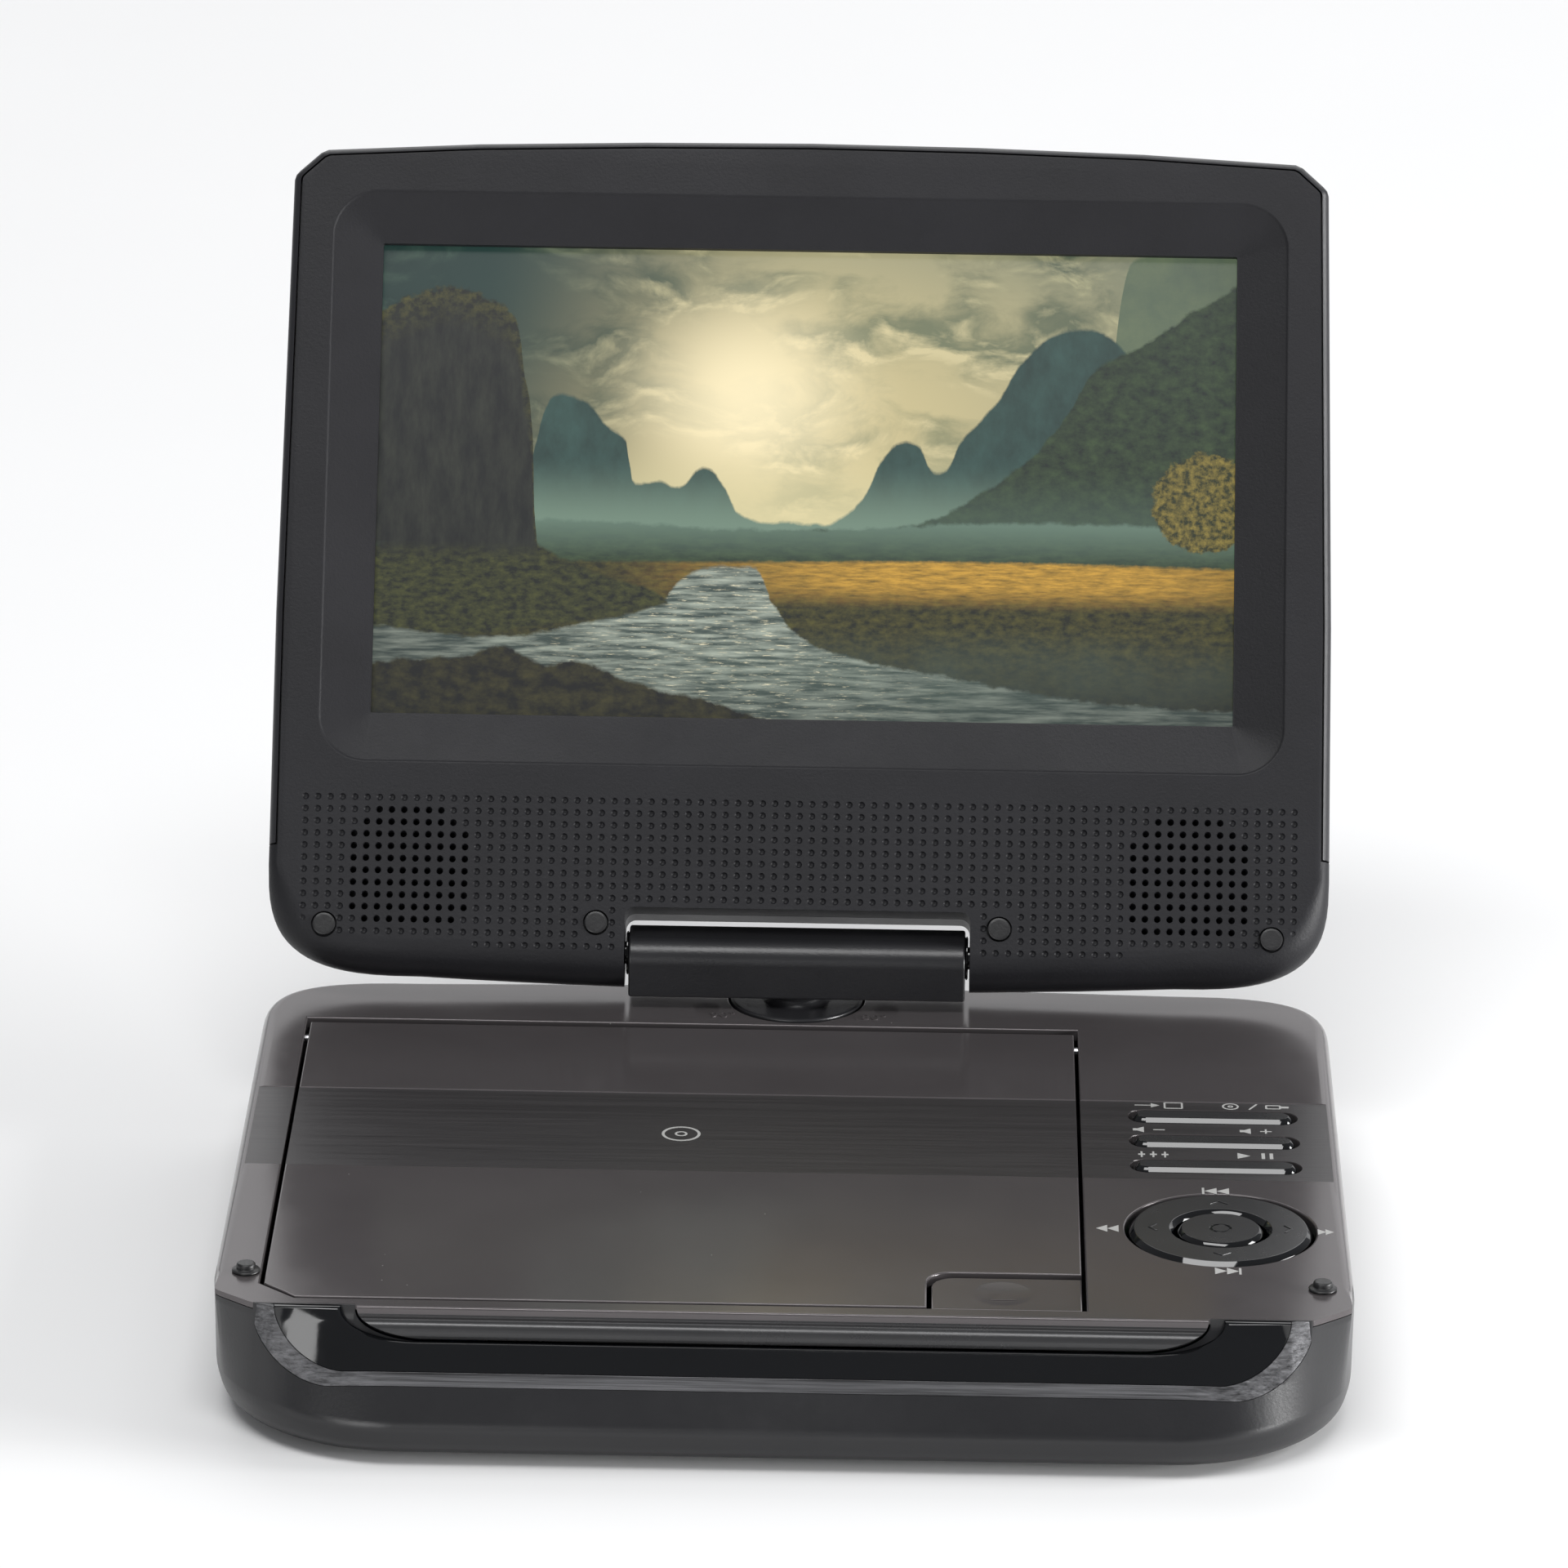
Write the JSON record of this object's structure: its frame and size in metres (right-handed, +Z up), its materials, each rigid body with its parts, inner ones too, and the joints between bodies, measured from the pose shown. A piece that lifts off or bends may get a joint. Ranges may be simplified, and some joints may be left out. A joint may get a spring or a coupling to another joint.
{
  "type": "portable dvd player",
  "caption": "Clamshell portable disc player: widescreen lid on a tilt-and-swivel hinge, hinged disc cover, rocker keys, four-way ring and rubber feet.",
  "frame": {"origin": "under the middle of the bounding box, on the surface the feet stand on, with the lid open", "axes": "+X to the user's right, +Y towards the back where the lid is, +Z up"},
  "size_m": [0.1888, 0.2376, 0.1621],
  "materials": {
    "shell": "fine satin texture",
    "plate": "satin metallic lacquer over moulded plastic",
    "strip": "brushed lengthways",
    "gloss": "polished piano black",
    "bezel": "fine spark texture",
    "lid": "satin lacquer",
    "hinge": "satin",
    "key": "satin metallic lacquer",
    "rubber": "matt",
    "steel": "bright",
    "inner": "moulded black",
    "board": "green solder mask",
    "battery": "shrink sleeve",
    "lens": "coated",
    "glass": "polished",
    "screen": "satin display film",
    "brass": "turned"
  },
  "bodies": {
    "base": {"bottom_shell": "shell", "top_frame": "plate", "front_trim_strip": "strip", "front_gloss_panel": "gloss", "foot_1": "rubber", "foot_2": "rubber", "foot_3": "rubber", "foot_4": "rubber", "case_screw_1": "steel", "case_screw_2": "steel", "case_screw_3": "steel", "case_screw_4": "steel", "stop_peg_left": "rubber", "stop_peg_right": "rubber", "disc_deck": "inner", "drive_chassis": "steel", "drive_damper_1": "rubber", "drive_damper_2": "rubber", "drive_damper_3": "rubber", "guide_rod_left": "steel", "guide_rod_right": "steel", "spindle_motor": "steel", "sled_motor": "steel", "cover_pin_left": "steel", "cover_pin_right": "steel", "key_board": "board", "main_board": "board", "battery_pack": "battery", "dc_jack": "inner", "phones_jack": "inner", "usb_port": "steel"},
    "cover": {"disc_cover": "plate"},
    "eject": {"eject_button": "plate"},
    "disc_hub": {"turntable": "inner"},
    "pickup": {"laser_pickup": "inner", "pickup_lens": "lens"},
    "screw": {"lead_screw": "brass"},
    "source": {"source_key": "key"},
    "volume": {"volume_key": "key"},
    "setup": {"setup_key": "key"},
    "pad_gimbal": {"pad_carrier": "inner"},
    "pad": {"pad_ring": "key"},
    "ok": {"ok_key": "key"},
    "power": {"power_switch": "inner"},
    "hinge": {"swivel_disc": "hinge", "swivel_nut": "steel", "hinge_block": "hinge", "hinge_pin_left": "hinge", "hinge_pin_right": "hinge"},
    "lid": {"lid_bezel": "bezel", "lid_back_cover": "lid", "lcd_glass": "glass", "lcd_panel": "screen", "lcd_board": "board", "speaker_left": "inner", "speaker_right": "inner", "lid_pad_outer_left": "rubber", "lid_pad_inner_left": "rubber", "lid_pad_inner_right": "rubber", "lid_pad_outer_right": "rubber"}
  },
  "joints": [
    {"name": "lid_swivel", "type": "hinge", "parent": "base", "child": "hinge", "pos_m": [0, 0.0372, 0.0324], "axis": [0, 0, 1], "range_deg": [0, 180]},
    {"name": "lid_tilt", "type": "hinge", "parent": "hinge", "child": "lid", "pos_m": [0, 0.0372, 0.0324], "axis": [1, 0, 0], "range_deg": [-59, 121]},
    {"name": "cover_hinge", "type": "hinge", "parent": "base", "child": "cover", "pos_m": [-0.018, 0.0206, 0.0213], "axis": [-1, 0, 0], "range_deg": [0, 50]},
    {"name": "eject_press", "type": "slide", "parent": "base", "child": "eject", "axis": [0, 0, -1], "range_m": [0, 0.0012], "stiffness_N_per_m": 200},
    {"name": "disc_spin", "type": "hinge", "parent": "base", "child": "disc_hub", "pos_m": [-0.018, -0.0408, 0.0172], "axis": [0, 0, 1], "continuous": true},
    {"name": "pickup_travel", "type": "slide", "parent": "base", "child": "pickup", "axis": [0, -1, 0], "range_m": [0, 0.034]},
    {"name": "lead_screw_turn", "type": "hinge", "parent": "base", "child": "screw", "pos_m": [-0.0028, -0.0728, 0.01], "axis": [0, 1, 0], "range_deg": [0, 1440]},
    {"name": "source_rock", "type": "hinge", "parent": "base", "child": "source", "pos_m": [0.0728, -0.0168, 0.0222], "axis": [0, 1, 0], "range_deg": [-2, 2], "stiffness_Nm_per_rad": 0.02},
    {"name": "volume_rock", "type": "hinge", "parent": "base", "child": "volume", "pos_m": [0.0728, -0.0283, 0.0222], "axis": [0, 1, 0], "range_deg": [-2, 2], "stiffness_Nm_per_rad": 0.02},
    {"name": "setup_rock", "type": "hinge", "parent": "base", "child": "setup", "pos_m": [0.0728, -0.0398, 0.0222], "axis": [0, 1, 0], "range_deg": [-2, 2], "stiffness_Nm_per_rad": 0.02},
    {"name": "pad_up_down", "type": "hinge", "parent": "base", "child": "pad_gimbal", "pos_m": [0.0728, -0.0686, 0.0212], "axis": [1, 0, 0], "range_deg": [-2, 2], "stiffness_Nm_per_rad": 0.03},
    {"name": "pad_left_right", "type": "hinge", "parent": "pad_gimbal", "child": "pad", "pos_m": [0.0728, -0.0686, 0.0212], "axis": [0, 1, 0], "range_deg": [-2, 2], "stiffness_Nm_per_rad": 0.03},
    {"name": "ok_press", "type": "slide", "parent": "base", "child": "ok", "axis": [0, 0, -1], "range_m": [0, 0.0006], "stiffness_N_per_m": 150},
    {"name": "power_slide", "type": "slide", "parent": "base", "child": "power", "axis": [0, 1, 0], "range_m": [0, 0.004]}
  ],
  "couplings": [
    {"joint": "lead_screw_turn", "follows": "pickup_travel", "rad_per_m": 739.2}
  ]
}
